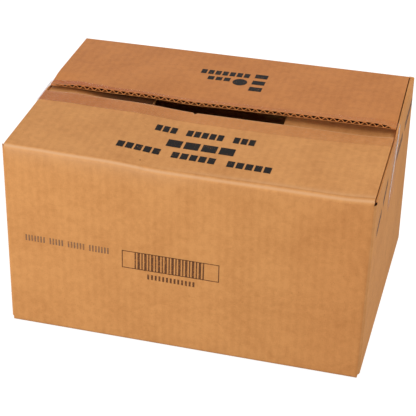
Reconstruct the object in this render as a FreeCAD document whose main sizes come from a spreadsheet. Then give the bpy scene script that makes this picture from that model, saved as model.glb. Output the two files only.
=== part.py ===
"""Bottle shipping box: a closed single-wall corrugated carton, its sealing tape and its inner partition.

The frame is millimetres, +X along the length, +Y to the rear, +Z up, with the origin at the middle of
the underside. The carton is one folded sheet: four panels, a glued side joint and eight flaps. Its long
(major) flaps lie over its short (minor) flaps, and the flutes open at the free edge of every flap.
"""
import FreeCAD, Part
import math
import os
import sys

import Sketcher

# Driving sizes in millimetres, and counts
SIZES = {
    "outer_length": 380.0,
    "outer_width": 268.0,
    "outer_height": 214.0,
    "board_thickness": 4.4,
    "liner_thickness": 0.45,
    "medium_thickness": 0.45,
    "flute_pitch": 8.25,
    "flute_mouth": 6.4,
    "flute_open_depth": 15.0,
    "crease_radius": 0.5,
    "lap_clearance": 0.3,
    "major_end_inset": 2.5,
    "slot_overcut": 0.8,
    "rear_slot_flare": 7.0,
    "minor_side_clearance": 1.5,
    "top_seam_gap": 16.0,
    "bottom_seam_gap": 1.0,
    "left_minor_reach": 123.0,
    "right_minor_reach": 117.0,
    "joint_tab_width": 35.0,
    "joint_tab_margin": 3.0,
    "joint_tab_taper": 8.0,
    "joint_gap": 1.0,
    "tape_width": 48.0,
    "tape_thickness": 0.08,
    "tape_tail": 78.0,
    "tape_off_centre": -2.0,
    "cell_columns": 4,
    "cell_rows": 3,
    "divider_thickness": 3.0,
    "divider_height": 125.0,
    "divider_end_clearance": 1.5,
    "divider_slot_clearance": 0.6,
}

SMALL = 1e-6

doc = FreeCAD.newDocument("bottle_shipping_box")


class Size:
    """A length with its expression for the document and its present value."""

    def __init__(self, text, value):
        self.text = text
        self.value = value

    def __add__(self, other):
        other = as_size(other)
        return Size(f"({self.text} + {other.text})", self.value + other.value)

    def __sub__(self, other):
        other = as_size(other)
        return Size(f"({self.text} - {other.text})", self.value - other.value)

    def __mul__(self, other):
        other = as_size(other)
        return Size(f"({self.text} * {other.text})", self.value * other.value)

    def __truediv__(self, other):
        other = as_size(other)
        return Size(f"({self.text} / {other.text})", self.value / other.value)

    def __neg__(self):
        return Size(f"(-1 * {self.text})", -self.value)

    def whole(self):
        return Size(f"floor({self.text})", math.floor(self.value))


def as_size(value):
    return value if isinstance(value, Size) else Size(repr(value), value)


def make_sheet():
    sheet = doc.addObject("Spreadsheet::Sheet", "dims")
    for row, (alias, value) in enumerate(SIZES.items(), start=1):
        sheet.set(f"A{row}", alias)
        sheet.set(f"B{row}", str(value))
        sheet.setAlias(f"B{row}", alias)
    doc.recompute()
    return {alias: Size(f"dims.{alias}", float(sheet.get(alias))) for alias in SIZES}


size = make_sheet()
ZERO = as_size(0)

# Sizes that several pieces share
half_length = size["outer_length"] / 2
half_width = size["outer_width"] / 2
top = size["outer_height"]
board = size["board_thickness"]
crease = size["crease_radius"]
fold = board + crease
flap_inset = size["major_end_inset"]
slot_floor = fold + size["slot_overcut"]
major_length = size["outer_length"] - flap_inset * 2
minor_width = size["outer_width"] - (board + size["minor_side_clearance"]) * 2
minor_outer = board + size["lap_clearance"]
minor_inner = minor_outer + board
minor_gap_left = size["left_minor_reach"] - half_length
minor_gap_right = half_length - size["right_minor_reach"]
inner_length = size["outer_length"] - board * 2
inner_width = size["outer_width"] - board * 2


def new_body(label):
    body = doc.addObject("PartDesign::Body", label)
    body.Label = label
    return body


def new_sketch(body, name, plane, offset=ZERO):
    """An empty sketch on a plane of the body's origin, moved along the plane's normal."""
    sketch = body.newObject("Sketcher::SketchObject", name)
    datum = next(item for item in body.Origin.OriginFeatures if item.Role == plane)
    sketch.AttachmentSupport = [(datum, "")]
    sketch.MapMode = "FlatFace"
    sketch.AttachmentOffset = FreeCAD.Placement(FreeCAD.Vector(0, 0, offset.value), FreeCAD.Rotation())
    sketch.setExpression("AttachmentOffset.Base.z", offset.text)
    return sketch


def bind(sketch, kind, *arguments):
    """Add a constraint whose last argument is a Size, and tie it to that size's expression."""
    length = arguments[-1]
    index = sketch.addConstraint(Sketcher.Constraint(kind, *arguments[:-1], length.value))
    sketch.setExpression(f"Constraints[{index}]", length.text)


def square_outline(sketch, corners):
    """A closed outline of level and upright lines, anticlockwise. Each corner is (x, y, radius or None)."""
    points = [FreeCAD.Vector(x.value, y.value, 0) for x, y, _ in corners]
    radii = [radius.value if radius else 0.0 for _, _, radius in corners]
    count = len(corners)
    headings = []
    lines = []
    for here in range(count):
        there = (here + 1) % count
        heading = (points[there] - points[here]).normalize()
        start = points[here] + heading * radii[here]
        end = points[there] - heading * radii[there]
        headings.append(heading)
        lines.append(sketch.addGeometry(Part.LineSegment(start, end)))
        x, y, _ = corners[here]
        if abs(heading.y) < SMALL:
            sketch.addConstraint(Sketcher.Constraint("Horizontal", lines[here]))
            bind(sketch, "DistanceY", -1, 1, lines[here], 1, y)
        else:
            sketch.addConstraint(Sketcher.Constraint("Vertical", lines[here]))
            bind(sketch, "DistanceX", -1, 1, lines[here], 1, x)
    for here in range(count):
        before, after = lines[here - 1], lines[here]
        radius = corners[here][2]
        if radius is None:
            sketch.addConstraint(Sketcher.Constraint("Coincident", before, 2, after, 1))
            continue
        inwards = headings[here] - headings[here - 1]
        centre = points[here] + inwards * radius.value
        turns_left = headings[here - 1].cross(headings[here]).z > 0
        middle = math.atan2(-inwards.y, -inwards.x)
        circle = Part.Circle(centre, FreeCAD.Vector(0, 0, 1), radius.value)
        arc = sketch.addGeometry(Part.ArcOfCircle(circle, middle - math.pi / 4, middle + math.pi / 4))
        before_end, after_end = (1, 2) if turns_left else (2, 1)
        sketch.addConstraint(Sketcher.Constraint("Tangent", before, 2, arc, before_end))
        sketch.addConstraint(Sketcher.Constraint("Tangent", arc, after_end, after, 1))
        bind(sketch, "Radius", arc, radius)


def box_outline(sketch, left, right, low, high, radius=None):
    square_outline(sketch, [(left, low, radius), (right, low, radius), (right, high, radius), (left, high, radius)])


def pinned_outline(sketch, corners):
    """A closed outline of straight lines, with each corner (x, y) held from the sketch's origin."""
    points = [FreeCAD.Vector(x.value, y.value, 0) for x, y in corners]
    count = len(corners)
    lines = []
    for here in range(count):
        lines.append(sketch.addGeometry(Part.LineSegment(points[here], points[(here + 1) % count])))
    for here in range(count):
        x, y = corners[here]
        sketch.addConstraint(Sketcher.Constraint("Coincident", lines[here - 1], 2, lines[here], 1))
        bind(sketch, "DistanceX", -1, 1, lines[here], 1, x)
        bind(sketch, "DistanceY", -1, 1, lines[here], 1, y)


def extrude(body, kind, name, sketch, length, side="One side"):
    """A Pad or a Pocket of a sketch. A Pocket that cuts nothing is an error."""
    doc.recompute()
    before = body.Shape.Volume if body.Tip else 0.0
    feature = body.newObject(f"PartDesign::{kind}", name)
    feature.Profile = sketch
    feature.SideType = side
    feature.Length = length.value
    feature.setExpression("Length", length.text)
    doc.recompute()
    if kind == "Pocket" and body.Shape.Volume > before - SMALL:
        sys.exit(f"{body.Label}: {name} cuts nothing")
    return feature


def repeat(body, name, feature, sketch, spacing, count):
    """A row of copies of one feature along the sketch's level axis."""
    pattern = body.newObject("PartDesign::LinearPattern", name)
    pattern.Originals = [feature]
    pattern.Direction = (sketch, ["H_Axis"])
    pattern.Mode = "Spacing"
    pattern.Offset = spacing.value
    pattern.setExpression("Offset", spacing.text)
    pattern.Occurrences = int(count.value)
    pattern.setExpression("Occurrences", count.text)
    body.Tip = pattern
    doc.recompute()
    return pattern


# The carton

def add_panel_ring(body):
    """The four upright panels, as far up and down as the ends of the corner slots."""
    sketch = new_sketch(body, "panel_ring_plan", "XY_Plane", slot_floor)
    box_outline(sketch, -half_length, half_length, -half_width, half_width, fold)
    box_outline(
        sketch,
        -(half_length - board), half_length - board,
        -(half_width - board), half_width - board,
        crease,
    )
    extrude(body, "Pad", "panel_ring", sketch, top - slot_floor * 2)


def add_flap_loop(body, name, plane, half_span, low, high, length):
    """Two facing panels with their upper and lower flaps, as one loop round the box."""
    sketch = new_sketch(body, f"{name}_profile", plane)
    box_outline(sketch, -half_span, half_span, low, high, fold)
    box_outline(
        sketch,
        -(half_span - board), half_span - board,
        low + board, high - board,
        crease,
    )
    extrude(body, "Pad", name, sketch, length, "Symmetric")


def round_major_ends(body):
    """Trim the ends of the major loop to the rounded upright corners of the panels."""
    outside_x = half_length + board
    outside_y = half_width + board
    sketch = new_sketch(body, "corner_rounding_plan", "XY_Plane", top)
    box_outline(sketch, -outside_x, outside_x, -outside_y, outside_y)
    box_outline(sketch, -half_length, half_length, -half_width, half_width, fold)
    extrude(body, "Pocket", "corner_rounding", sketch, top)


def cut_rear_slot_flare(body):
    """The right end of the rear top flap is cut aslant, narrower at its fold than at its free edge."""
    seam_edge = size["top_seam_gap"] / 2
    flap_end = half_length - flap_inset
    sketch = new_sketch(body, "rear_slot_flare_plan", "XY_Plane", top)
    pinned_outline(sketch, [
        (flap_end, seam_edge),
        (half_length, seam_edge),
        (half_length, half_width),
        (flap_end - size["rear_slot_flare"], half_width),
    ])
    extrude(body, "Pocket", "rear_slot_flare", sketch, slot_floor)


def cut_between_flaps(body, name, level, x_low, x_high, y_low, y_high):
    """The space between the free edges of two facing flaps, one board deep below the given level."""
    sketch = new_sketch(body, f"{name}_plan", "XY_Plane", level)
    box_outline(sketch, x_low, x_high, y_low, y_high)
    extrude(body, "Pocket", name, sketch, board)


def cut_flap_openings(body):
    top_half = size["top_seam_gap"] / 2
    bottom_half = size["bottom_seam_gap"] / 2
    minor_half = (minor_width + size["minor_side_clearance"]) / 2
    cut_between_flaps(body, "top_seam", top, -half_length, half_length, -top_half, top_half)
    cut_between_flaps(body, "bottom_seam", board, -half_length, half_length, -bottom_half, bottom_half)
    for name, level in (("top_minor_opening", top - minor_outer), ("bottom_minor_opening", minor_inner)):
        cut_between_flaps(body, name, level, minor_gap_left, minor_gap_right, -minor_half, minor_half)


def add_side_joint(body):
    """The glue tab inside the rear panel, and the gap between that panel's cut edge and the corner fold."""
    inner_face = half_width - board
    tab_root = board - half_length
    tab_end = tab_root + size["joint_tab_width"]
    low = minor_inner + size["joint_tab_margin"]
    high = top - minor_inner - size["joint_tab_margin"]
    taper = size["joint_tab_taper"]
    sketch = new_sketch(body, "joint_tab_outline", "XZ_Plane", -inner_face)
    pinned_outline(sketch, [(tab_root, low), (tab_end, low + taper), (tab_end, high - taper), (tab_root, high)])
    extrude(body, "Pad", "joint_tab", sketch, board)

    panel_edge = flap_inset - half_length
    sketch = new_sketch(body, "joint_gap_outline", "XZ_Plane", -inner_face)
    box_outline(sketch, panel_edge - size["joint_gap"], panel_edge, slot_floor, top - slot_floor)
    extrude(body, "Pocket", "joint_gap", sketch, board)


def add_flute_pair(sketch, along, underside):
    """One pitch of the wavy medium: a channel under the upper liner, then one over the lower liner."""
    half_mouth = size["flute_mouth"] / 2
    skin = size["liner_thickness"]
    far_skin = skin + size["medium_thickness"]
    upper_mouth = underside + board - skin
    upper_root = underside + far_skin
    pinned_outline(sketch, [(along - half_mouth, upper_mouth), (along, upper_root), (along + half_mouth, upper_mouth)])
    along = along + size["flute_pitch"] / 2
    lower_mouth = underside + skin
    lower_root = underside + board - far_skin
    pinned_outline(sketch, [(along - half_mouth, lower_mouth), (along + half_mouth, lower_mouth), (along, lower_root)])


def cut_flutes(body, name, plane, edge_length, undersides, reach):
    """The open flute channels along the facing free edges of the upper and lower flaps of one kind."""
    pitch = size["flute_pitch"]
    count = (edge_length / pitch).whole() - 1
    first = -(count - 0.5) * pitch / 2
    sketch = new_sketch(body, f"{name}_profile", plane)
    for underside in undersides:
        add_flute_pair(sketch, first, underside)
    pocket = extrude(body, "Pocket", name, sketch, reach, "Symmetric")
    repeat(body, f"{name}_row", pocket, sketch, pitch, count)


def make_carton():
    body = new_body("carton")
    add_panel_ring(body)
    add_flap_loop(body, "major_loop", "YZ_Plane", half_width, ZERO, top, major_length)
    round_major_ends(body)
    cut_rear_slot_flare(body)
    add_flap_loop(body, "minor_loop", "XZ_Plane", half_length, minor_outer, top - minor_outer, minor_width)
    cut_flap_openings(body)
    add_side_joint(body)
    open_depth = size["flute_open_depth"] * 2
    cut_flutes(body, "major_flutes", "XZ_Plane", major_length, (ZERO, top - board), size["top_seam_gap"] + open_depth)
    minor_gap = minor_gap_right - minor_gap_left
    cut_flutes(body, "minor_flutes", "YZ_Plane", minor_width, (minor_outer, top - minor_inner), minor_gap + open_depth)
    return body


# The sealing tape

def make_top_tape():
    """A strip of film along the top seam, bent over both ends and stuck to the end panels."""
    body = new_body("top_tape")
    film = size["tape_thickness"]
    tail_end = top - size["tape_tail"]
    bend = flap_inset
    outer_bend = bend + film
    sketch = new_sketch(body, "top_tape_profile", "XZ_Plane")
    square_outline(sketch, [
        (-(half_length + film), tail_end, None),
        (-half_length, tail_end, None),
        (-half_length, top, bend),
        (half_length, top, bend),
        (half_length, tail_end, None),
        (half_length + film, tail_end, None),
        (half_length + film, top + film, outer_bend),
        (-(half_length + film), top + film, outer_bend),
    ])
    extrude(body, "Pad", "tape_strip", sketch, size["tape_width"], "Symmetric")
    body.setExpression("Placement.Base.y", size["tape_off_centre"].text)
    return body


# The partition

def make_divider(label, plane, inside_span, slot_spacing, slot_count, slots_open_upwards):
    """A plate across the box with a row of half-height slots for the plates that cross it."""
    body = new_body(label)
    half_span = inside_span / 2 - size["divider_end_clearance"]
    plate_height = size["divider_height"]
    sketch = new_sketch(body, f"{label}_outline", plane)
    box_outline(sketch, -half_span, half_span, ZERO, plate_height)
    extrude(body, "Pad", f"{label}_plate", sketch, size["divider_thickness"], "Symmetric")

    half_slot = (size["divider_thickness"] + size["divider_slot_clearance"]) / 2
    first = -(slot_count - 1) * slot_spacing / 2
    low, high = (plate_height / 2, plate_height) if slots_open_upwards else (ZERO, plate_height / 2)
    sketch = new_sketch(body, f"{label}_slot_outline", plane)
    box_outline(sketch, first - half_slot, first + half_slot, low, high)
    slot = extrude(body, "Pocket", f"{label}_slot", sketch, size["divider_thickness"], "Symmetric")
    repeat(body, f"{label}_slots", slot, sketch, slot_spacing, slot_count)
    body.setExpression("Placement.Base.z", minor_inner.text)
    return body


def make_partition():
    """Long plates along X and short plates along Y, which stand on the lower minor flaps."""
    column = inner_length / size["cell_columns"]
    row = inner_width / size["cell_rows"]
    long_count = size["cell_rows"] - 1
    short_count = size["cell_columns"] - 1
    dividers = []
    for index in range(int(long_count.value)):
        body = make_divider(f"long_divider_{index + 1}", "XZ_Plane", inner_length, column, short_count, True)
        place = row * (index + 1) - inner_width / 2
        body.setExpression("Placement.Base.y", place.text)
        dividers.append(body)
    for index in range(int(short_count.value)):
        body = make_divider(f"short_divider_{index + 1}", "YZ_Plane", inner_width, row, long_count, False)
        place = column * (index + 1) - inner_length / 2
        body.setExpression("Placement.Base.x", place.text)
        dividers.append(body)
    return dividers


def check_model(subparts):
    for item in doc.Objects:
        if "Invalid" in item.State or "Error" in item.State:
            sys.exit(f"{item.Label} did not compute: {item.State}")
    for body in subparts:
        if body.Shape.isNull() or not body.Shape.isValid():
            sys.exit(f"{body.Label} has no valid shape")


def main():
    subparts = [make_carton(), make_top_tape()] + make_partition()
    doc.recompute()
    check_model(subparts)
    os.makedirs("parts", exist_ok=True)
    for body in subparts:
        body.Shape.exportStep(f"parts/{body.Label}.step")
        box = body.Shape.BoundBox
        print(f"{body.Label}: {len(body.Shape.Solids)} solid, {body.Shape.Volume:.0f} mm3,"
              f" x {box.XMin:.2f} to {box.XMax:.2f}, y {box.YMin:.2f} to {box.YMax:.2f},"
              f" z {box.ZMin:.2f} to {box.ZMax:.2f}")


main()
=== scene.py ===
"""Looks of the bottle shipping box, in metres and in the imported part's frame.

The carton is the part's own mesh, cut finer and warped as the photo shows it: its front top fold stands
higher at the left, the rear flap springs up from the seam and the tape pins it down at both ends. The tape
and the print follow the same warp. The print is plain blocks, bars and discs.
"""

import math

import bmesh
import bpy
import numpy as np
from mathutils import Matrix, Vector, noise


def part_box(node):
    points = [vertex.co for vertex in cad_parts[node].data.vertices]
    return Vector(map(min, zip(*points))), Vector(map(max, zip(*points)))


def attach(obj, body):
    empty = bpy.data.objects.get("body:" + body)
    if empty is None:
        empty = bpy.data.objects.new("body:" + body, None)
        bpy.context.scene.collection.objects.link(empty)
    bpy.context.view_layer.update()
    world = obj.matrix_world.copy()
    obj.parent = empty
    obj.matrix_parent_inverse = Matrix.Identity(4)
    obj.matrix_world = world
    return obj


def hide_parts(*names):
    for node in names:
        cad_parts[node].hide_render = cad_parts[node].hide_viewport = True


MM = 0.001
SMALL = 1e-7

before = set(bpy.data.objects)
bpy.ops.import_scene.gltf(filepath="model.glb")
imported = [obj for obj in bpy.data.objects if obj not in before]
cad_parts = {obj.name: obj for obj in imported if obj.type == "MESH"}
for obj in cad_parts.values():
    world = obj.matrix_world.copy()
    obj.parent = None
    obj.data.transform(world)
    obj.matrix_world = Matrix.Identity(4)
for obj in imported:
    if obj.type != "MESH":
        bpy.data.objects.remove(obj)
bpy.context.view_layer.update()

# Sizes read from the frame
HALF_LENGTH, HALF_WIDTH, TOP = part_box("carton")[1]
TAPE_LOW, TAPE_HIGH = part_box("top_tape")

# Sizes of the board and its cuts, as in the part
BOARD = 4.4 * MM
FOLD = 4.9 * MM
SEAM_HALF = 8 * MM
FLUTE_PITCH = 8.25 * MM
FLUTE_REACH = 16 * MM
LAP = 0.3 * MM
MAJOR_END = HALF_LENGTH - 2.5 * MM
MINOR_SIDE = HALF_WIDTH - BOARD - 1.5 * MM
MAJOR_UNDERSIDE = TOP - BOARD
LAP_MIDDLE = MAJOR_UNDERSIDE - LAP / 2
REAR_CREASE = HALF_WIDTH - FOLD
REAR_SLOT_FLARE = 7 * MM

# Camera, worked out from the box's corners in the photo
CAMERA_PLACE = Vector((0.33866, -1.35305, 0.97278))
CAMERA_AZIMUTH = math.radians(14.33)
CAMERA_ELEVATION = math.radians(32.25)
CAMERA_ROLL = math.radians(0.824)
CAMERA_LENS = 130.72
CAMERA_SENSOR = 36.0

# Studio: the world's light on the box, half the floor's length and how brightly the floor is seen
WORLD_STRENGTH = 0.55
FLOOR_HALF = 8.0
FLOOR_GLOW = 0.86

# How far each corner of the box has moved, in millimetres: (right, rear, upper) and the shift
CORNER_SHIFTS = {
    (0, 0, 0): (1.2, -1.2, 0.0),
    (1, 0, 0): (-0.5, -2.4, 0.0),
    (0, 1, 0): (0.6, 1.0, 0.0),
    (1, 1, 0): (-0.4, 2.2, 0.0),
    (0, 0, 1): (2.0, 0.0, 0.0),
    (1, 0, 1): (2.9, 0.0, 0.0),
    (0, 1, 1): (1.2, -1.3, -1.7),
    (1, 1, 1): (0.5, 0.8, 1.0),
}

# Lines along the length, as (x, value) in millimetres
FRONT_RISE = [
    (-190, 4.2), (-178, 3.0), (-152, 3.1), (-127, 2.2), (-77, 1.7), (-52, 0.0), (-28, -1.7),
    (45, -1.8), (93, -1.5), (140, -1.9), (165, -1.6), (190, 0.6),
]
FLAP_SPRING = [
    (-190, 2.6), (-170, 2.5), (-150, 1.5), (-119, 2.1), (-63, 3.1), (3, 5.2), (57, 5.9), (89, 6.1),
    (131, 7.1), (162, 7.4), (177, 6.3), (185, 5.2), (190, 4.2),
]
FLAP_CRUSH = [(-190, 3.2), (-172, 1.9), (-155, 0.0), (172, 0.0), (180, 1.3), (190, 3.2)]
TAPE_FRONT = [(-190, -29.5), (-140, -31), (-38, -30), (66, -31), (118, -30), (155, -26.5), (190, -27)]
TAPE_REAR = [(-190, 17.8), (-158, 17.5), (-122, 13.5), (-43, 12.5), (0, 14), (120, 15), (190, 20)]

# Small damage to the front flap and its fold
DENT_PLACE = (-41 * MM, -HALF_WIDTH, TOP)
DENT_RADIUS = 4 * MM
DENT_DEPTH = 1.6 * MM
NOTCH_X = -21.6 * MM
NOTCH_HALF = 2.6 * MM
NOTCH_DEPTH = 3.2 * MM

# The right end's fold rides up beside the major flaps and leaves a narrow slot, open at the front corner.
# Toward the rear the slot moves inward by the flare.
END_LIFT = 3.8 * MM
SLOT_WIDTH = 1.1 * MM
SEEN_FLARE = 3.4 * MM
REAR_CORNER_LIFT = 1.6 * MM
REAR_CORNER_LEAN = 1.1 * MM

# The left end's fold is lifted at the front corner and at the seam, where the front flap falls by a share
LEFT_CORNER_LIFT = 4.1 * MM
LEFT_SEAM_LIFT = 2.4 * MM
LEFT_SEAM_REACH = 9 * MM
LEFT_FALL = 0.53

# Where the minor flaps end, and how far their free edges are from there in the photo
MINOR_EDGES = (-67 * MM, 73 * MM)
MINOR_SLIPS = (-4.4 * MM, -1.8 * MM)

# Below this height the panels follow only the box's skew
CALM_BELOW = TOP - 50 * MM

# Tape: how far it floats off the board and sags over the seam, and its ripples
TAPE_GAP = 0.2 * MM
TAPE_SAG = 2.2 * MM
RIPPLE_SIZE = 12 * MM
RIPPLE_HEIGHT = 0.12 * MM
FILM_THICKNESS = 0.08 * MM

# The painted sheen streak down the tape on the right end: where it starts, how far it drifts and half its
# width
STREAK_START = 20 * MM
STREAK_DRIFT = 52 * MM
STREAK_HALF = 8.5 * MM

# Mesh steps and the print's gap to the board
GRID_STEP = 8 * MM
WELD = 0.002 * MM
TAPE_STEP = 2.5 * MM
PRINT_STEP = 8 * MM
PRINT_GAP = 0.12 * MM

# Print: the gap between groups of blocks, in places of the row, and the corners of a disc
GROUP_GAP = 1.1
DISC_CORNERS = 28

# Shades along lines, as (place in millimetres, share): the painted shade in the slots across the width, and
# along the length the painted shadow in the seam, where it starts across the seam, and the film's shade
SLOT_PAINTED_SHADE = [(-20, 0.0), (0, 0.42), (110, 0.42), (130, 0.20)]
SEAM_PAINTED_SHADOW = [(-190, 0.24), (-165, 0.40), (-140, 0.72), (-110, 0.88), (0, 0.92), (1, 0.14)]
SEAM_PAINTED_SHADOW_START = [(-160, 0.60), (-140, 0.50), (-110, 0.15), (-60, 0.0), (0, 0.0), (1, 0.5)]
FILM_SHADE = [(-180, 0.95), (-120, 0.65), (-50, 0.30), (20, 0.12), (120, 0.0)]

# Painted shade in the openings, 1 for black, and painted shade reddening the front panel at its right end
HOLE_PAINTED_SHADE = 0.96
FLUTE_PAINTED_SHADE = 0.97
LOWER_FLUTE_PAINTED_SHADE = 0.50
FRONT_RIGHT_SHADE = 0.36

# How pale: painted highlights on the front flap's edge and the upright folds, and the rear flap's paler
# edge
FRONT_EDGE_HIGHLIGHT = 0.75
REAR_EDGE_PALE = 0.30
UPRIGHT_FOLD_HIGHLIGHT = 0.12

# Colours, linear
KRAFT_DARK = (0.448, 0.172, 0.046)
KRAFT_LIGHT = (0.672, 0.308, 0.102)
KRAFT_PALE_HIGHLIGHT = (0.660, 0.370, 0.185)
# Multiplied into the rear flap's redder board, and into the front panel's right end as painted shade
REDDER = (0.885, 0.745, 0.665)
DIVIDER_DARK = (0.30, 0.150, 0.060)
DIVIDER_LIGHT = (0.45, 0.245, 0.110)
BLACK_INK = (0.009, 0.007, 0.006)
BROWN_INK = (0.130, 0.055, 0.026)
GREY_INK = (0.235, 0.130, 0.075)
SLATE_INK = (0.055, 0.045, 0.046)
FILM_TINT = (0.530, 0.090, 0.025)
FILM_DARK = (0.400, 0.012, 0.001)
FILM_PAINTED_SHEEN = (0.620, 0.470, 0.400)
# Ramp of the painted shade and painted shadow, from none to black
NO_SHADE = (1.0, 1.0, 1.0)
HALF_SHADE = (0.50, 0.39, 0.31)
FULL_SHADE = (0.01, 0.004, 0.002)

# How much each face of the film hides: over the seam, where it is stuck, for its haze, for its shade and
# for its painted sheen
FREE_COVER = 0.004
STUCK_COVER = 0.025
HAZE_COVER = 0.04
SHADE_COVER = 0.09
PAINTED_SHEEN_COVER = 0.40


def smooth(share):
    share = np.clip(share, 0.0, 1.0)
    return share * share * (3.0 - 2.0 * share)


def smooth_line(knots, blur):
    """A function through (place, value) pairs given in millimetres, with its corners rounded off."""
    places, values = np.array(knots, float).T * MM
    fine = np.arange(places[0], places[-1] + MM / 2, MM)
    reach = int(3 * blur / MM)
    weights = np.exp(-0.5 * (np.arange(-reach, reach + 1) * MM / blur) ** 2)
    padded = np.pad(np.interp(fine, places, values), reach, mode="edge")
    line = np.convolve(padded, weights / weights.sum(), mode="valid")
    return lambda x: np.interp(x, fine, line)


def line_at(knots, place):
    """The value at a place of the straight lines through (place in millimetres, value) pairs."""
    places, values = np.array(knots, float).T
    return np.interp(place, places * MM, values)


front_rise = smooth_line(FRONT_RISE, 6 * MM)
flap_spring = smooth_line(FLAP_SPRING, 4 * MM)
flap_crush = smooth_line(FLAP_CRUSH, 4 * MM)
tape_front = smooth_line(TAPE_FRONT, 12 * MM)
tape_rear = smooth_line(TAPE_REAR, 12 * MM)


# The warp

def corner_shift(x, y, z):
    """The box's skew: the corners' shifts, blended over the whole box."""
    right = (x + HALF_LENGTH) / (2 * HALF_LENGTH)
    rear = (y + HALF_WIDTH) / (2 * HALF_WIDTH)
    upper = z / TOP
    total = np.zeros((len(x), 3))
    for (is_right, is_rear, is_upper), shift in CORNER_SHIFTS.items():
        share = (right if is_right else 1 - right) * (rear if is_rear else 1 - rear)
        share = share * (upper if is_upper else 1 - upper)
        total += share[:, None] * np.array(shift) * MM
    return total


def toward_rear(y):
    return np.clip((y - SEAM_HALF) / (HALF_WIDTH - SEAM_HALF), 0, 1)


def near_top(z):
    """0 below the calm height, 1 from the top minor flaps up."""
    return smooth((z - CALM_BELOW) / (MAJOR_UNDERSIDE - BOARD - CALM_BELOW))


def slot_line(x, y):
    """How far from the middle the major flaps end in the photo."""
    return MAJOR_END - SEEN_FLARE * toward_rear(y) * (x > 0)


def hinge_share(y):
    """How far a point of the rear flap is from its crease, 1 at the free edge."""
    return np.clip((REAR_CREASE - y) / (REAR_CREASE - SEAM_HALF), 0, None)


def end_lift(x, y, z):
    """The rise of the right end's fold beside the major flaps, and of the left end's at two places."""
    outside = smooth((np.abs(x) - slot_line(x, y)) / SLOT_WIDTH) * (z < LAP_MIDDLE) * near_top(z)
    at_front_corner = smooth((-y - MINOR_SIDE) / (2 * MM))
    beside_flap = np.clip(hinge_share(y), 0, 1) * smooth((y + 10 * MM) / (18 * MM))
    right = (END_LIFT + flap_spring(x) * beside_flap) * (1 - at_front_corner)
    in_rear_corner = np.clip((y - MINOR_SIDE) / (HALF_WIDTH - MINOR_SIDE), 0, 1)
    right += REAR_CORNER_LIFT * smooth(8 * in_rear_corner) * (1 - 0.75 * in_rear_corner ** 2)
    at_seam = smooth(2 - np.abs(y) / LEFT_SEAM_REACH)
    left = LEFT_CORNER_LIFT * at_front_corner + LEFT_SEAM_LIFT * at_seam
    return np.where(x > 0, right, left) * outside


def minor_slip(x, y, z):
    """How far the top minor flaps' points lie along the length from their places in the part."""
    on_minor = (z > MAJOR_UNDERSIDE - 2 * BOARD) & (z < LAP_MIDDLE) & (np.abs(y) < MINOR_SIDE + MM)
    left = MINOR_SLIPS[0] * np.clip((x + MAJOR_END) / (MINOR_EDGES[0] + MAJOR_END), 0, 1) * (x < 0)
    right = MINOR_SLIPS[1] * np.clip((MAJOR_END - x) / (MAJOR_END - MINOR_EDGES[1]), 0, 1) * (x > 0)
    return (left + right) * on_minor


def rear_corner_lean(x, y, z):
    """The rear right corner's rim leans on the flap's end."""
    in_corner = smooth((y - MINOR_SIDE) / MM) * (x > MAJOR_END - FOLD) * (z < LAP_MIDDLE)
    rising = smooth((z - MAJOR_UNDERSIDE + 2 * FOLD) / FOLD)
    return -REAR_CORNER_LEAN * np.clip((HALF_LENGTH - x) / FOLD, 0, 1) * in_corner * rising


def warp(points, on_rear_flap=None):
    """Where points of the part's carton lie in the photo.

    For the tape, on_rear_flap is each point's share of the rear flap's motion.
    """
    points = np.array(points, float).reshape(-1, 3)
    moved = points.copy()
    x, y, z = points.T
    if on_rear_flap is None:
        on_rear_flap = ((z > LAP_MIDDLE) & (y > 0)).astype(float)
        moved[:, 2] += end_lift(x, y, z)
        stretch = (REAR_SLOT_FLARE - SEEN_FLARE) * toward_rear(y) * smooth((x - 100 * MM) / (80 * MM))
        moved[:, 0] += stretch * on_rear_flap + minor_slip(x, y, z) + rear_corner_lean(x, y, z)
    moved += corner_shift(x, y, z)

    near_seam = smooth((REAR_CREASE - y) / (REAR_CREASE - SEAM_HALF) * 4 - 3)
    above_lap = np.clip(z - MAJOR_UNDERSIDE, 0, None) / BOARD
    moved[:, 2] -= flap_crush(x) * near_seam * above_lap * on_rear_flap

    moved[:, 2] += flap_spring(x) * hinge_share(y) * on_rear_flap

    from_front = np.clip((y + HALF_WIDTH) / (HALF_WIDTH + SEAM_HALF), 0, 1)
    left_fall = LEFT_FALL * smooth((-x - 150 * MM) / (40 * MM)) * from_front
    moved[:, 2] += front_rise(x) * (1 - left_fall) * near_top(z) * (1 - toward_rear(y))

    distance = np.linalg.norm(points - DENT_PLACE, axis=1)
    dent = DENT_DEPTH * np.exp(-(distance / DENT_RADIUS) ** 2)
    moved[:, 1] += dent
    moved[:, 2] -= dent

    notch = np.clip(1 - np.abs(x - NOTCH_X) / NOTCH_HALF, 0, 1) * NOTCH_DEPTH
    at_front_edge = (z > LAP_MIDDLE) & (y > -SEAM_HALF - 2 * NOTCH_DEPTH) & (y < 0)
    moved[:, 1] -= notch * at_front_edge
    return moved


# Materials

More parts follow.
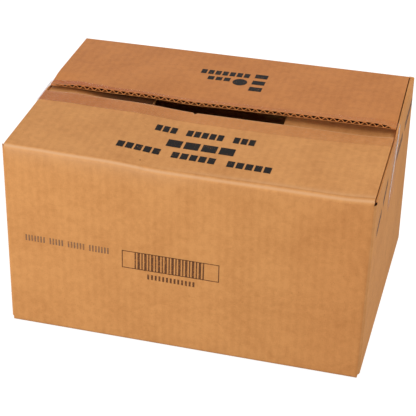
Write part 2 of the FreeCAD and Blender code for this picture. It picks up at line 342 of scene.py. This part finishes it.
class Shader:
    """A node material with a few short ways to add nodes."""

    def __init__(self, name):
        self.material = bpy.data.materials.new(name)
        self.material.use_nodes = True
        self.nodes = self.material.node_tree.nodes
        self.links = self.material.node_tree.links
        self.surface = self.nodes["Principled BSDF"]
        self.place = self.nodes.new("ShaderNodeTexCoord").outputs["Object"]

    def link(self, value, socket):
        if isinstance(value, bpy.types.NodeSocket):
            self.links.new(value, socket)
        else:
            socket.default_value = value

    def math(self, operation, first, second=0.0, third=0.0):
        node = self.nodes.new("ShaderNodeMath")
        node.operation = operation
        for index, value in enumerate((first, second, third)):
            self.link(value, node.inputs[index])
        return node.outputs["Value"]

    def noise(self, size, stretch=(1, 1, 1), detail=3.0, distortion=0.0):
        """Noise from 0 to 1 with grains about size across, longer where stretch is larger."""
        mapping = self.nodes.new("ShaderNodeMapping")
        mapping.inputs["Scale"].default_value = [1 / (size * s) for s in stretch]
        self.links.new(self.place, mapping.inputs["Vector"])
        node = self.nodes.new("ShaderNodeTexNoise")
        node.inputs["Scale"].default_value = 1.0
        node.inputs["Detail"].default_value = detail
        node.inputs["Distortion"].default_value = distortion
        self.links.new(mapping.outputs["Vector"], node.inputs["Vector"])
        return node.outputs["Fac"]

    def attribute(self, name):
        node = self.nodes.new("ShaderNodeAttribute")
        node.attribute_name = name
        return node.outputs["Fac"]

    def ramp(self, value, stops):
        node = self.nodes.new("ShaderNodeValToRGB")
        elements = node.color_ramp.elements
        while len(elements) < len(stops):
            elements.new(0.5)
        for element, (position, colour) in zip(elements, stops):
            element.position = position
            element.color = (*colour, 1.0)
        self.links.new(value, node.inputs["Fac"])
        return node.outputs["Color"]

    def mix(self, share, first, second, blend="MIX"):
        node = self.nodes.new("ShaderNodeMix")
        node.data_type = "RGBA"
        node.blend_type = blend
        self.link(share, node.inputs["Factor"])
        for socket, value in (("A", first), ("B", second)):
            target = next(s for s in node.inputs if s.name == socket and s.type == "RGBA")
            self.link((*value, 1.0) if isinstance(value, tuple) else value, target)
        return next(s for s in node.outputs if s.type == "RGBA")

    def bump(self, height, depth):
        node = self.nodes.new("ShaderNodeBump")
        node.inputs["Strength"].default_value = 1.0
        node.inputs["Distance"].default_value = depth
        self.links.new(height, node.inputs["Height"])
        self.links.new(node.outputs["Normal"], self.surface.inputs["Normal"])

    def set(self, **values):
        for name, value in values.items():
            self.link(value, self.surface.inputs[name.replace("_", " ")])


def washboard(shader):
    """The flutes felt through the liner: ridges across X, or across Y on the end panels."""
    split = shader.nodes.new("ShaderNodeSeparateXYZ")
    shader.links.new(shader.place, split.inputs["Vector"])
    facing = shader.nodes.new("ShaderNodeSeparateXYZ")
    geometry = shader.nodes.new("ShaderNodeNewGeometry")
    shader.links.new(geometry.outputs["Normal"], facing.inputs["Vector"])
    on_end = shader.math("GREATER_THAN", shader.math("ABSOLUTE", facing.outputs["X"]), 0.7)
    along = shader.math("MULTIPLY", split.outputs["Y"], on_end)
    across = shader.math("MULTIPLY", split.outputs["X"], shader.math("SUBTRACT", 1.0, on_end))
    turn = shader.math("MULTIPLY", shader.math("ADD", along, across), math.tau / FLUTE_PITCH)
    return shader.math("MULTIPLY_ADD", shader.math("SINE", turn), 0.5, 0.5)


def board_material(name, dark, light, pale_and_highlight):
    """Brown board: clouds, short fibres and specks over a faint washboard, a painted highlight where it is
    folded.
    """
    shader = Shader(name)
    clouds = shader.noise(45 * MM, detail=4.0)
    mottle = shader.noise(9 * MM, detail=3.0, distortion=0.6)
    fibres = shader.noise(0.9 * MM, stretch=(4, 1, 1), detail=2.0)
    cross_fibres = shader.noise(0.9 * MM, stretch=(1, 3, 4), detail=2.0)
    ridges = washboard(shader)
    weights = ((clouds, 0.55), (mottle, 0.55), (fibres, 0.28), (cross_fibres, 0.28), (ridges, 0.07))
    tone = -0.16
    for pattern, weight in weights:
        tone = shader.math("MULTIPLY_ADD", pattern, weight, tone)
    colour = shader.ramp(tone, [(0.15, dark), (0.85, light)])
    specks = shader.math("GREATER_THAN", shader.noise(1.6 * MM, detail=0.0), 0.80)
    colour = shader.mix(shader.math("MULTIPLY", specks, 0.35), colour, dark)
    # Toward the pale colour: painted highlights on the folds and the front flap's edge, and the rear flap's
    # paler edge
    colour = shader.mix(shader.attribute("pale_and_highlight"), colour, pale_and_highlight)
    # Redder: the rear flap, and painted shade at the front panel's right end
    colour = shader.mix(shader.attribute("redness_and_shade"), colour, REDDER, "MULTIPLY")
    # Darken the colour by the painted shade and the painted shadow
    darkness = shader.math("MAXIMUM", shader.attribute("painted_shade"), shader.attribute("painted_shadow"))
    shade = shader.ramp(darkness, [(0.0, NO_SHADE), (0.5, HALF_SHADE), (1.0, FULL_SHADE)])
    colour = shader.mix(1.0, colour, shade, "MULTIPLY")
    roughness = shader.math("MULTIPLY_ADD", mottle, 0.16, 0.68)
    shader.set(Base_Color=colour, Roughness=roughness)
    shader.surface.inputs["Specular IOR Level"].default_value = 0.15
    relief = shader.math("MULTIPLY_ADD", fibres, 0.6, ridges)
    relief = shader.math("MULTIPLY_ADD", cross_fibres, 0.6, relief)
    shader.bump(relief, 0.04 * MM)
    return shader.material


def ink_material(name, ink, wear):
    """Ink on kraft, with pinholes where the board shows through."""
    shader = Shader(name)
    grain = shader.noise(1.1 * MM, detail=2.0)
    patches = shader.noise(7 * MM, detail=2.0)
    thin = shader.math("MULTIPLY_ADD", patches, 0.4, grain)
    share = shader.ramp(thin, [(0.86 - wear, (0, 0, 0)), (0.99 - wear * 0.5, (1, 1, 1))])
    colour = shader.mix(share, ink, KRAFT_DARK)
    shader.set(Base_Color=colour, Roughness=shader.math("MULTIPLY_ADD", grain, 0.2, 0.6))
    shader.surface.inputs["Specular IOR Level"].default_value = 0.08
    shader.bump(grain, 0.03 * MM)
    return shader.material


def film_material():
    """Clear packing tape: it darkens the board that it is stuck to, and has a whitish painted sheen in
    places.
    """
    shader = Shader("clear_film")
    painted_sheen = shader.attribute("painted_sheen")
    bubbles = shader.noise(2.4 * MM, stretch=(1.6, 1, 1), detail=1.0)
    bubbles = shader.math("MULTIPLY", shader.math("GREATER_THAN", bubbles, 0.69), 0.04)
    haze = shader.noise(22 * MM, stretch=(3, 1, 1), detail=2.0)
    sheen_and_bubbles = shader.math("MINIMUM", shader.math("ADD", painted_sheen, bubbles), 1.0)
    shade = shader.attribute("shade")
    colour = shader.mix(shade, FILM_TINT, FILM_DARK)
    # Whitish painted sheen, with bubbles
    colour = shader.mix(sheen_and_bubbles, colour, FILM_PAINTED_SHEEN)
    cover = shader.math("MULTIPLY_ADD", haze, HAZE_COVER, STUCK_COVER)
    cover = shader.math("MULTIPLY_ADD", shade, SHADE_COVER, cover)
    cover = shader.math("MULTIPLY_ADD", shader.attribute("stuck"), cover, FREE_COVER)
    cover = shader.math("MULTIPLY_ADD", sheen_and_bubbles, PAINTED_SHEEN_COVER, cover)
    shader.set(Base_Color=colour, Alpha=cover)
    shader.surface.inputs["Roughness"].default_value = 0.22
    shader.surface.inputs["IOR"].default_value = 1.45
    shader.surface.inputs["Specular IOR Level"].default_value = 0.12
    shader.bump(shader.noise(6 * MM, stretch=(3, 1, 1), detail=1.0), 0.05 * MM)
    return shader.material


# Meshes

def add_object(name, mesh, material):
    piece = bpy.data.objects.new(name, mesh)
    bpy.context.scene.collection.objects.link(piece)
    mesh.materials.clear()
    mesh.materials.append(material)
    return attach(piece, "root")


def vertex_places(mesh):
    places = np.zeros(len(mesh.vertices) * 3)
    mesh.vertices.foreach_get("co", places)
    return places.reshape(-1, 3)


def move_vertices(mesh, places):
    mesh.vertices.foreach_set("co", places.ravel())
    mesh.update()


def shade_smooth(mesh, sharp_angle):
    mesh.polygons.foreach_set("use_smooth", [True] * len(mesh.polygons))
    mesh.set_sharp_from_angle(angle=sharp_angle)


def add_attribute(mesh, name, domain, values):
    attribute = mesh.attributes.new(name, "FLOAT", domain)
    attribute.data.foreach_set("value", np.asarray(values, np.float32))


def slice_plane(bm, place, direction):
    geometry = bm.verts[:] + bm.edges[:] + bm.faces[:]
    bmesh.ops.bisect_plane(bm, geom=geometry, dist=SMALL, plane_co=place, plane_no=direction)


def slice_mesh(bm, axis, places):
    """Cut every face along the planes where that axis has the given values."""
    direction = Vector((0.0, 0.0, 0.0))
    direction[axis] = 1.0
    for place in places:
        slice_plane(bm, direction * place, direction)


def slice_slots(bm):
    """Cut the faces along both sides of the slots beside the major flaps' ends."""
    flare = Vector((HALF_WIDTH - SEAM_HALF, SEEN_FLARE, 0.0)).normalized()
    for step in (0.0, SLOT_WIDTH / 2, SLOT_WIDTH):
        slice_plane(bm, Vector((MAJOR_END + step, SEAM_HALF, 0.0)), flare)
        for side in (-1, 1):
            slice_plane(bm, Vector((side * (MAJOR_END + step), 0.0, 0.0)), Vector((1.0, 0.0, 0.0)))


def even_steps(low, high, step):
    count = max(2, round((high - low) / step) + 1)
    return np.linspace(low, high, count)


def carton_slices():
    """Where the carton's mesh is cut along X, Y and Z, closer together at the dent and the notch."""
    lengthwise = list(even_steps(-HALF_LENGTH, HALF_LENGTH, GRID_STEP)[1:-1])
    lengthwise += [DENT_PLACE[0] + step * DENT_RADIUS / 2 for step in (-3, -2, -1, 0, 1, 2, 3)]
    lengthwise += [NOTCH_X + step * NOTCH_HALF / 2 for step in (-2, -1, 0, 1, 2)]
    widthwise = list(even_steps(-HALF_WIDTH, HALF_WIDTH, GRID_STEP)[1:-1])
    widthwise += [-SEAM_HALF - step * NOTCH_DEPTH / 2 for step in (1, 2)]
    widthwise += list(even_steps(-SEAM_HALF, SEAM_HALF, 2 * MM))
    widthwise += [side * (HALF_WIDTH - step * FOLD / 2) for side in (-1, 1) for step in (1, 2, 3, 5)]
    upwards = list(even_steps(0, CALM_BELOW, 4 * GRID_STEP)[1:])
    upwards += list(even_steps(CALM_BELOW, MAJOR_UNDERSIDE - BOARD, GRID_STEP)[1:])
    upwards += [TOP - FOLD - step * MM for step in (3, 6, 11, 17)]
    return lengthwise, widthwise, upwards


def paint_faces(mesh):
    """Painted shade in slots, hole and open flutes, and redder places, from faces' places and directions
    before the warp.
    """
    centres = np.zeros(len(mesh.polygons) * 3)
    normals = np.zeros(len(mesh.polygons) * 3)
    mesh.polygons.foreach_get("center", centres)
    mesh.polygons.foreach_get("normal", normals)
    x, y, z = centres.reshape(-1, 3).T
    nx, ny, nz = normals.reshape(-1, 3).T
    upper = z > MAJOR_UNDERSIDE - 2 * BOARD

    # Painted shade in the slots beside the major flaps' ends
    rear_cut = MAJOR_END - REAR_SLOT_FLARE * toward_rear(y) * (x > 0)
    slot_side = (np.abs(np.abs(x) - rear_cut) < 0.3 * MM) & (np.abs(nx) > 0.9) & (z > LAP_MIDDLE)
    beyond_slot = np.abs(x) - slot_line(x, y)
    slot_floor = (beyond_slot > 0) & (beyond_slot < SLOT_WIDTH) & (nz > 0.3)
    slot_floor &= upper & (np.abs(y) < MINOR_SIDE)

    # Painted shade in the hole at the front right corner: its floor, and the end fold's cut side
    floor = (y < -MINOR_SIDE - MM) & (nz > 0.9) & (z < TOP - MM)
    side = (y < 0.3 * MM - MINOR_SIDE) & (y > -HALF_WIDTH + MM) & (ny < -0.9)
    corner_hole = (floor | side) & (x > MAJOR_END) & upper

    # Painted shade in the open flutes along the seam: those under the corrugated sheet catch some light
    beyond_edge = np.abs(y) - SEAM_HALF
    in_flutes = (beyond_edge > 0.1 * MM) & (beyond_edge < FLUTE_REACH) & (np.abs(x) < MAJOR_END - 0.1 * MM)
    in_flutes &= (z > MAJOR_UNDERSIDE + 0.3 * MM) & (z < TOP - 0.3 * MM)
    lower_flutes = (nz < -0.1) & (z < TOP - MM)
    lower_flutes |= (z < MAJOR_UNDERSIDE + MM)
    lower_flutes |= (np.abs(ny) > 0.9) & (z < TOP - BOARD / 2)
    flute_painted_shade = np.where(lower_flutes, LOWER_FLUTE_PAINTED_SHADE, FLUTE_PAINTED_SHADE)

    # Painted shade: darkest in the hole and the flutes, set by the place across the width in the slots
    darkened = [corner_hole, in_flutes, slot_side | slot_floor]
    painted_shade = np.select(darkened, [HOLE_PAINTED_SHADE, flute_painted_shade, line_at(SLOT_PAINTED_SHADE, y)], 0.0)
    on_rear_flap = (y > SEAM_HALF - MM) & (z > MAJOR_UNDERSIDE + 0.1 * MM)
    on_front = (y < -HALF_WIDTH + MM) & (z < TOP - FOLD)
    # Painted shade: the front panel redder and darker toward its right end, away from the light
    front_right_shade = FRONT_RIGHT_SHADE * smooth((x - 70 * MM) / (110 * MM)) * on_front
    add_attribute(mesh, "painted_shade", "FACE", painted_shade)
    add_attribute(mesh, "redness_and_shade", "FACE", np.where(on_rear_flap, 1.0, front_right_shade))


def paint_points(mesh):
    """Painted highlights on folds and the front flap's edge, a paler rear edge and painted shadow in the
    seam, from the points' places before the warp.
    """
    x, y, z = vertex_places(mesh).T
    right_share = smooth((x + 60 * MM) / (120 * MM))

    # The front's top fold: a painted highlight ridge with a tail down the panel, and a painted highlight
    # band behind it at the right
    along_arc = np.arctan2(-HALF_WIDTH + FOLD - y, z - TOP + FOLD)
    on_fold = (y < -HALF_WIDTH + FOLD + SMALL) & (z > TOP - FOLD - SMALL)
    tail = 0.36 * (1 - 0.85 * right_share)
    ridge = np.exp(-((along_arc - math.radians(42)) / math.radians(20)) ** 2)
    fold = np.maximum(ridge * (1 - 0.2 * right_share), tail * smooth(along_arc / math.radians(45)))
    below = TOP - FOLD - z
    under_fold = (y < -HALF_WIDTH + SMALL) & (below > 0)
    under = tail * np.exp(-below / (8 * MM))
    behind = y + HALF_WIDTH - FOLD
    on_top = (behind > SMALL) & (z > TOP - SMALL)
    behind_fold = 0.34 * right_share * np.exp(-((behind - 2.5 * MM) / (3.5 * MM)) ** 2)
    crease = (np.abs(behind) < SMALL) & (z > TOP - SMALL)

    # The flaps' free edges on both sides of the seam, the front one with a painted highlight, and the
    # upright folds' painted highlight
    at_edges = [np.abs(y + SEAM_HALF) < SMALL, np.abs(y - SEAM_HALF) < SMALL]
    flap_edge = np.select(at_edges, [FRONT_EDGE_HIGHLIGHT, REAR_EDGE_PALE], 0.0)
    upright_fold = (np.abs(x) > HALF_LENGTH - FOLD / 2) & (np.abs(y) > HALF_WIDTH - FOLD / 2)
    pale_and_highlight = np.select(
        [on_fold, under_fold, on_top, upright_fold],
        [fold, under, np.maximum(behind_fold, flap_edge), UPRIGHT_FOLD_HIGHLIGHT],
        0.0,
    )

    # Painted shadow on the minor flaps in the seam, and a faint painted shade line along the front fold's
    # crease
    on_minor = (np.abs(z - MAJOR_UNDERSIDE + LAP) < 0.1 * MM) & (np.abs(y) < REAR_CREASE)
    across_seam = (y + SEAM_HALF) / (2 * SEAM_HALF)
    in_painted_shadow = smooth((across_seam - line_at(SEAM_PAINTED_SHADOW_START, x)) / 0.4) * on_minor
    painted_shadow = line_at(SEAM_PAINTED_SHADOW, x) * in_painted_shadow + (0.04 + 0.10 * right_share) * crease
    add_attribute(mesh, "pale_and_highlight", "POINT", pale_and_highlight)
    add_attribute(mesh, "painted_shadow", "POINT", painted_shadow)


def make_carton(material):
    bm = bmesh.new()
    bm.from_mesh(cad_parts["carton"].data)
    bmesh.ops.remove_doubles(bm, verts=bm.verts[:], dist=WELD)
    for axis, places in enumerate(carton_slices()):
        slice_mesh(bm, axis, places)
    slice_slots(bm)
    bmesh.ops.recalc_face_normals(bm, faces=bm.faces[:])
    mesh = bpy.data.meshes.new("kraft_carton")
    bm.to_mesh(mesh)
    bm.free()
    if "custom_normal" in mesh.attributes:
        mesh.attributes.remove(mesh.attributes["custom_normal"])
    paint_faces(mesh)
    paint_points(mesh)
    move_vertices(mesh, warp(vertex_places(mesh)))
    shade_smooth(mesh, math.radians(35))
    carton = add_object("kraft_carton", mesh, material)
    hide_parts("carton")


def tape_path():
    """The tape's line from the left tail over the top to the right one, as (x, z, outward x, outward z)."""
    bend = HALF_LENGTH - MAJOR_END
    upright = even_steps(TAPE_LOW.z, TOP - bend, TAPE_STEP)
    places = [(-HALF_LENGTH, z, -1.0, 0.0) for z in upright]
    for angle in np.linspace(math.pi, math.pi / 2, 6)[1:-1]:
        outward = (math.cos(angle), math.sin(angle))
        places.append((-MAJOR_END + bend * outward[0], TOP - bend + bend * outward[1], *outward))
    places += [(x, TOP, 0.0, 1.0) for x in even_steps(-MAJOR_END, 0, TAPE_STEP)]
    mirrored = [(-x, z, -out_x, out_z) for x, z, out_x, out_z in reversed(places[:-1])]
    return np.array(places + mirrored)


def tape_painted_sheen(x, y, z):
    """Where the film has its painted sheen: a streak down the right end, and a little along both bends."""
    on_right_end = smooth((x - MAJOR_END) / MM)
    below = (TOP - z) / (TOP - TAPE_LOW.z)
    streak_middle = STREAK_START - STREAK_DRIFT * below
    streak_half = STREAK_HALF * (1 - 0.6 * below)
    streak = smooth(1.6 - np.abs(y - streak_middle) / streak_half)
    streak = streak * smooth(2.6 - 2.4 * below) * on_right_end
    near_bend = np.exp(-((np.abs(x) - MAJOR_END) / (2 * MM)) ** 2) * smooth((z - TOP + 6 * MM) / (4 * MM))
    return np.clip(streak + 0.04 * near_bend, 0, 1)


def make_tape(material):
    path = tape_path()
    shares = even_steps(0, TAPE_HIGH.y - TAPE_LOW.y, TAPE_STEP) / (TAPE_HIGH.y - TAPE_LOW.y)
    places = []
    for x, z, out_x, out_z in path:
        front, rear = tape_front(x), tape_rear(x)
        for share in shares:
            y = front + (rear - front) * share
            gap = TAPE_GAP + noise.noise(Vector((x, y, z)) / RIPPLE_SIZE) * RIPPLE_HEIGHT
            places.append((x + out_x * gap, y, z + out_z * gap))
    places = np.array(places)
    x, y, z = places.T
    over_seam = np.clip(1 - (y / SEAM_HALF) ** 2, 0, 1) * smooth((MAJOR_END - np.abs(x)) / (15 * MM))
    on_rear_flap = smooth((y + SEAM_HALF) / (2 * SEAM_HALF)) * (z > LAP_MIDDLE)
    beside_seam = smooth((np.abs(y) - SEAM_HALF + MM) / (2 * MM))
    on_end = smooth((np.abs(x) - MAJOR_END) / (2 * MM))
    moved = warp(places, on_rear_flap)
    moved[:, 2] -= over_seam * TAPE_SAG

    columns = len(shares)
    faces = []
    for row in range(len(path) - 1):
        for column in range(columns - 1):
            corner = row * columns + column
            faces.append((corner, corner + columns, corner + columns + 1, corner + 1))
    mesh = bpy.data.meshes.new("clear_tape")
    mesh.from_pydata(moved.tolist(), [], faces)
    add_attribute(mesh, "painted_sheen", "POINT", tape_painted_sheen(x, y, z))
    add_attribute(mesh, "stuck", "POINT", np.maximum(beside_seam, on_end))
    add_attribute(mesh, "shade", "POINT", line_at(FILM_SHADE, x))
    shade_smooth(mesh, math.radians(60))
    tape = add_object("clear_tape", mesh, material)
    thickness = tape.modifiers.new("thickness", "SOLIDIFY")
    thickness.thickness = FILM_THICKNESS
    thickness.offset = 0.0
    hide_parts("top_tape")


# Print

def rectangle(left, right, low, high):
    """Cells that fill a rectangle, each a list of (u, v) corners."""
    across = even_steps(left, right, PRINT_STEP)
    upwards = even_steps(low, high, PRINT_STEP)
    cells = []
    for u0, u1 in zip(across[:-1], across[1:]):
        for v0, v1 in zip(upwards[:-1], upwards[1:]):
            cells.append([(u0, v0), (u1, v0), (u1, v1), (u0, v1)])
    return cells


def disc(u, v, radius):
    """A disc of one cell, as in rectangle."""
    turns = np.linspace(0, math.tau, DISC_CORNERS + 1)[:-1]
    return [[(u + radius * math.cos(turn), v + radius * math.sin(turn)) for turn in turns]]


def block_row(start, end, height, groups, fill):
    """Upright blocks in groups along the line through their middles, in millimetres.

    A block takes the share fill of its place in the row.
    """
    start, end = np.array(start) * MM, np.array(end) * MM
    pitch = (end - start) / (sum(groups) + (len(groups) - 1) * GROUP_GAP)
    rise = np.array([0.0, height * MM / 2])
    cells = []
    place = 0.0
    for group in groups:
        for _ in range(group):
            left = start + pitch * (place + (1 - fill) / 2)
            right = left + pitch * fill
            corners = (left - rise, right - rise, right + rise, left + rise)
            cells.append([tuple(corner) for corner in corners])
            place += 1
        place += GROUP_GAP
    return cells


def on_top(u, v):
    return (u, v, TOP + PRINT_GAP)


def on_front(u, v):
    return (u, -HALF_WIDTH - PRINT_GAP, v)


def on_right_end(u, v):
    return (HALF_LENGTH + PRINT_GAP, u, v)


def make_print(name, cells, place, material):
    """A flat layer of ink on the warped board."""
    points = []
    faces = []
    for cell in cells:
        first = len(points)
        points += [place(u, v) for u, v in cell]
        faces.append(tuple(range(first, len(points))))
    mesh = bpy.data.meshes.new(name)
    mesh.from_pydata(warp(points).tolist(), [], faces)
    add_object(name, mesh, material)


def flap_row_cells():
    """Three rows of blocks on the front flap and a small speck of dirt."""
    cells = block_row((-53, -51), (54, -53.7), height=12, groups=(3, 5, 3), fill=0.78)
    cells += block_row((-34.5, -76.5), (39, -78.2), height=14, groups=(4,), fill=0.84)
    cells += block_row((-81, -95.8), (81.5, -102.6), height=11.5, groups=(5, 5, 5), fill=0.78)
    cells += disc(-48.7 * MM, -119.9 * MM, radius=0.7 * MM)
    return cells


def flap_mark_cells():
    """Two rows of small blocks, a disc and three bars on the rear flap."""
    cells = block_row((-39.5, 83), (16.5, 83.4), height=10, groups=(7,), fill=0.76)
    cells += block_row((-29, 69), (-2, 69.2), height=8.5, groups=(3,), fill=0.76)
    cells += disc(8.5 * MM, 66 * MM, radius=8 * MM)
    bar_half = 4.8 * MM
    for middle in (53 * MM, 69 * MM, 85 * MM):
        cells += rectangle(21.5 * MM, 35.5 * MM, middle - bar_half, middle + bar_half)
    return cells


def bar_field_cells():
    """A frame round evenly spaced bars, with a row of blocks under it, on the front panel."""
    left, right, low, high = -64.2 * MM, 38.8 * MM, 92.3 * MM, 113.4 * MM
    line = 0.9 * MM
    cells = rectangle(left, right, low, low + line) + rectangle(left, right, high - line, high)
    cells += rectangle(left, left + line, low, high) + rectangle(right - line, right, low, high)
    first, last, pitch = -49.8 * MM, 25.7 * MM, 3.6 * MM
    for index, middle in enumerate(np.arange(first, last, pitch)):
        half = (1.25 if index % 2 else 0.7) * MM
        cells += rectangle(middle - half, middle + half, low, high)
    cells += block_row((-38, 85.2), (14.2, 84.7), height=6, groups=(13,), fill=0.5)
    return cells


def faint_row_cells():
    """A faint row of narrow blocks at the left of the front panel."""
    return block_row((-169.5, 110.4), (-77.5, 109.2), height=7.4, groups=(7, 5, 6, 7), fill=0.5)


def end_dash_cells():
    """Slate dashes in two slanting rows on the right end."""
    cells = block_row((126, 185.5), (14, 176), height=8, groups=(5, 4), fill=0.74)
    cells += block_row((-48, 185), (-109, 161), height=7.5, groups=(4, 4), fill=0.80)
    return cells


# Scene

def make_camera():
    azimuth, elevation = CAMERA_AZIMUTH, CAMERA_ELEVATION
    back = Vector((
        math.sin(azimuth) * math.cos(elevation),
        -math.cos(azimuth) * math.cos(elevation),
        math.sin(elevation),
    ))
    right = Vector((math.cos(azimuth), math.sin(azimuth), 0.0))
    up = back.cross(right)
    turned = Matrix((right, up, back)).transposed() @ Matrix.Rotation(CAMERA_ROLL, 3, "Z")
    data = bpy.data.cameras.new("camera")
    data.lens = CAMERA_LENS
    data.sensor_width = CAMERA_SENSOR
    data.clip_start = 0.05
    data.clip_end = 50
    camera = bpy.data.objects.new("camera", data)
    camera.matrix_world = Matrix.Translation(CAMERA_PLACE) @ turned.to_4x4()
    bpy.context.scene.collection.objects.link(camera)
    bpy.context.scene.camera = camera


def is_seen_directly(nodes, links):
    """1 for camera, glossy and transmission rays."""
    path = nodes.new("ShaderNodeLightPath")
    total = path.outputs["Is Camera Ray"]
    for name in ("Is Glossy Ray", "Is Transmission Ray"):
        either = nodes.new("ShaderNodeMath")
        either.operation = "MAXIMUM"
        links.new(total, either.inputs[0])
        links.new(path.outputs[name], either.inputs[1])
        total = either.outputs["Value"]
    return total


def make_world(strength):
    world = bpy.data.worlds.new("studio")
    world.use_nodes = True
    bpy.context.scene.world = world
    nodes, links = world.node_tree.nodes, world.node_tree.links
    background = nodes["Background"]
    background.inputs["Color"].default_value = (1.0, 1.0, 1.0, 1.0)
    mix = nodes.new("ShaderNodeMix")
    mix.inputs["A"].default_value = strength
    mix.inputs["B"].default_value = 1.0
    links.new(is_seen_directly(nodes, links), mix.inputs["Factor"])
    links.new(mix.outputs["Result"], background.inputs["Strength"])


def make_floor():
    """A white floor that still takes the box's soft shadow."""
    half = FLOOR_HALF
    corners = [(-half, -half, 0), (half, -half, 0), (half, half, 0), (-half, half, 0)]
    mesh = bpy.data.meshes.new("studio_floor")
    mesh.from_pydata(corners, [], [(0, 1, 2, 3)])
    floor = bpy.data.objects.new("studio_floor", mesh)
    bpy.context.scene.collection.objects.link(floor)
    floor.location.z = -0.1 * MM
    shader = Shader("studio_floor")
    speckle = shader.noise(60 * MM)
    shader.set(Base_Color=shader.ramp(speckle, [(0.0, (0.28, 0.28, 0.28)), (1.0, (0.30, 0.30, 0.30))]))
    shader.surface.inputs["Roughness"].default_value = 0.9
    shader.surface.inputs["Specular IOR Level"].default_value = 0.0
    shader.surface.inputs["Emission Color"].default_value = (1.0, 1.0, 1.0, 1.0)
    glow = shader.math("MULTIPLY", is_seen_directly(shader.nodes, shader.links), FLOOR_GLOW)
    shader.links.new(glow, shader.surface.inputs["Emission Strength"])
    mesh.materials.append(shader.material)


def add_area_light(name, place, target, size, power):
    data = bpy.data.lights.new(name, "AREA")
    data.shape = "SQUARE"
    data.size = size
    data.energy = power
    lamp = bpy.data.objects.new(name, data)
    lamp.location = place
    lamp.rotation_mode = "QUATERNION"
    lamp.rotation_quaternion = (Vector(target) - Vector(place)).to_track_quat("-Z", "Y")
    bpy.context.scene.collection.objects.link(lamp)


def add_lights():
    middle = (0.0, 0.0, TOP / 2)
    add_area_light("key", (-1.0, -1.4, 0.6), (-0.1, 0.0, 0.1), size=0.7, power=19)
    add_area_light("overhead", (0.9, -0.2, 1.4), middle, size=0.9, power=5.5)
    add_area_light("right_fill", (1.6, -0.5, 0.4), middle, size=0.9, power=6)
    add_area_light("rear_fill", (-0.6, 1.8, 0.5), middle, size=1.0, power=9)


def main():
    kraft = board_material("kraft_board", KRAFT_DARK, KRAFT_LIGHT, KRAFT_PALE_HIGHLIGHT)
    divider = board_material("divider_board", DIVIDER_DARK, DIVIDER_LIGHT, DIVIDER_LIGHT)
    black_ink = ink_material("black_ink", BLACK_INK, wear=0.0)
    brown_ink = ink_material("brown_ink", BROWN_INK, wear=0.10)
    grey_ink = ink_material("grey_ink", GREY_INK, wear=0.16)
    slate_ink = ink_material("slate_ink", SLATE_INK, wear=0.12)

    make_carton(kraft)
    make_tape(film_material())
    for name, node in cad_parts.items():
        if "divider" in name:
            node.data.materials.clear()
            node.data.materials.append(divider)

    make_print("flap_rows", flap_row_cells(), on_top, black_ink)
    make_print("flap_mark", flap_mark_cells(), on_top, black_ink)
    make_print("bar_field", bar_field_cells(), on_front, brown_ink)
    make_print("faint_row", faint_row_cells(), on_front, grey_ink)
    make_print("end_dashes", end_dash_cells(), on_right_end, slate_ink)

    make_camera()
    make_world(WORLD_STRENGTH)
    make_floor()
    add_lights()
    bpy.context.scene.view_settings.view_transform = "Standard"


main()
